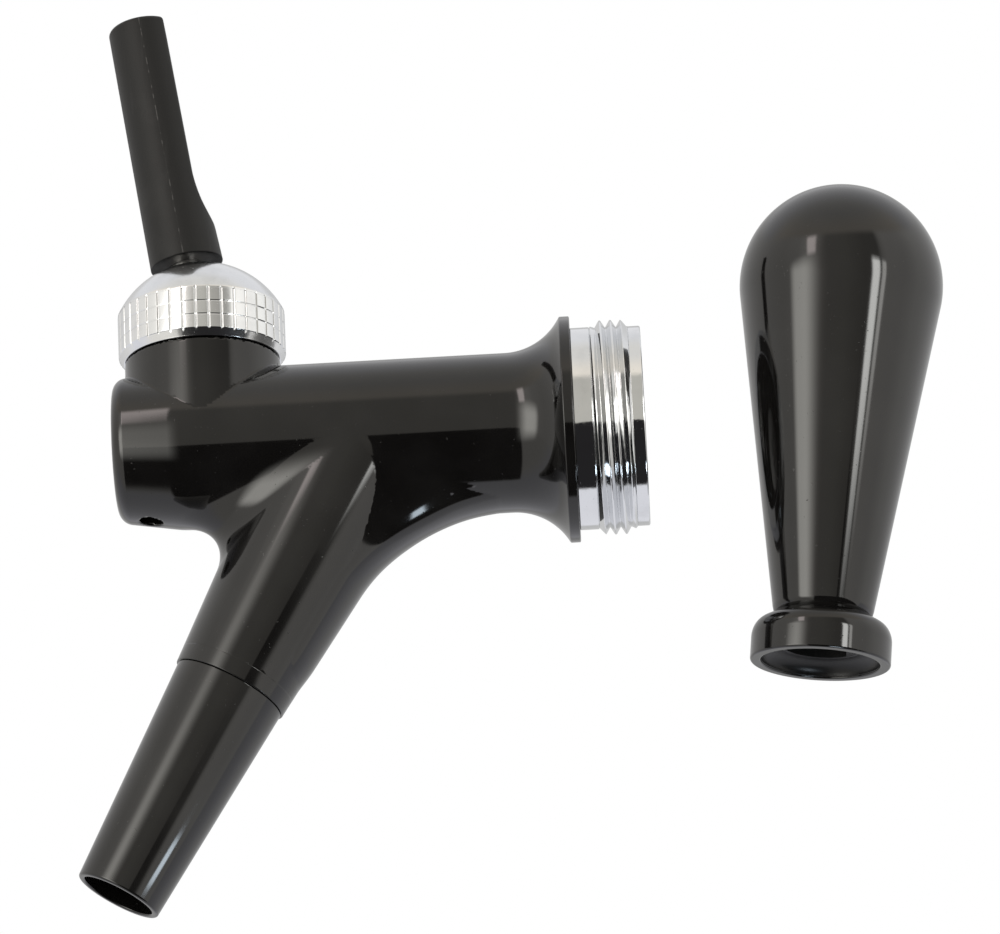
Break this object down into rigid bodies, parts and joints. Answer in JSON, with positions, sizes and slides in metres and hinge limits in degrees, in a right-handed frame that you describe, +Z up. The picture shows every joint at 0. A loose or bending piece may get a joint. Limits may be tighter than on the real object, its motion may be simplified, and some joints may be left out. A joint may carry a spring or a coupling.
{
  "type": "beer tap",
  "caption": "Beer dispensing tap with a ball-joint lever, knurled bonnet nut, threaded rear collar and bent spout with push-on nozzle; its pear-shaped handle stands apart.",
  "frame": {"origin": "centre of the flange's rear face, on the axis of the shank bore", "axes": "+X along the shank axis, out of the collar towards the tower; +Z up, with the turret above the barrel; -Y is the side that the object was seen from"},
  "size_m": [0.1442, 0.0398, 0.155],
  "materials": {
    "body_black": "gloss",
    "nozzle_black": "gloss",
    "chrome": "polished",
    "lever_black": "matt",
    "lever_steel": "turned",
    "handle_black": "gloss",
    "ferrule_black": "gloss",
    "insert_black": "matt",
    "valve_plastic": "satin",
    "seal_rubber": "matt",
    "washer_steel": "plain"
  },
  "bodies": {
    "tap": {"tap_body": "body_black", "threaded_collar": "chrome", "shank_seal": "seal_rubber", "valve_seat": "valve_plastic", "seat_gasket": "seal_rubber", "bonnet_nut": "chrome", "turret_gasket": "seal_rubber", "ball_lower_seat": "valve_plastic", "ball_upper_seal": "seal_rubber", "bonnet_thrust_ring": "valve_plastic", "nozzle_o_ring": "seal_rubber"},
    "lever": {"lever_core": "lever_steel", "lever_stem": "lever_black"},
    "valve_piston": {"piston": "valve_plastic", "piston_o_ring": "seal_rubber", "valve_washer": "seal_rubber", "washer_cup": "washer_steel", "washer_locknut": "washer_steel"},
    "nozzle": {"nozzle": "nozzle_black"},
    "handle": {"handle_shell": "handle_black", "handle_ferrule": "ferrule_black", "handle_insert": "insert_black"}
  },
  "joints": [
    {"name": "lever_tilt", "type": "hinge", "parent": "tap", "child": "lever", "pos_m": [-0.06043, 0, 0.017], "axis": [0, 1, 0], "range_deg": [0, 16.6]},
    {"name": "piston_slide", "type": "slide", "parent": "tap", "child": "valve_piston", "axis": [1, 0, 0], "range_m": [-0.00492, 0]},
    {"name": "nozzle_pull", "type": "slide", "parent": "tap", "child": "nozzle", "axis": [-0.4891, 0, -0.8722], "range_m": [0, 0.012]},
    {"name": "handle_lift", "type": "slide", "parent": "tap", "child": "handle", "axis": [0.1149, -0.0715, 0.9908], "range_m": [0, 0.06]}
  ],
  "couplings": [
    {"joint": "piston_slide", "follows": "lever_tilt", "m_per_rad": -0.016941}
  ]
}
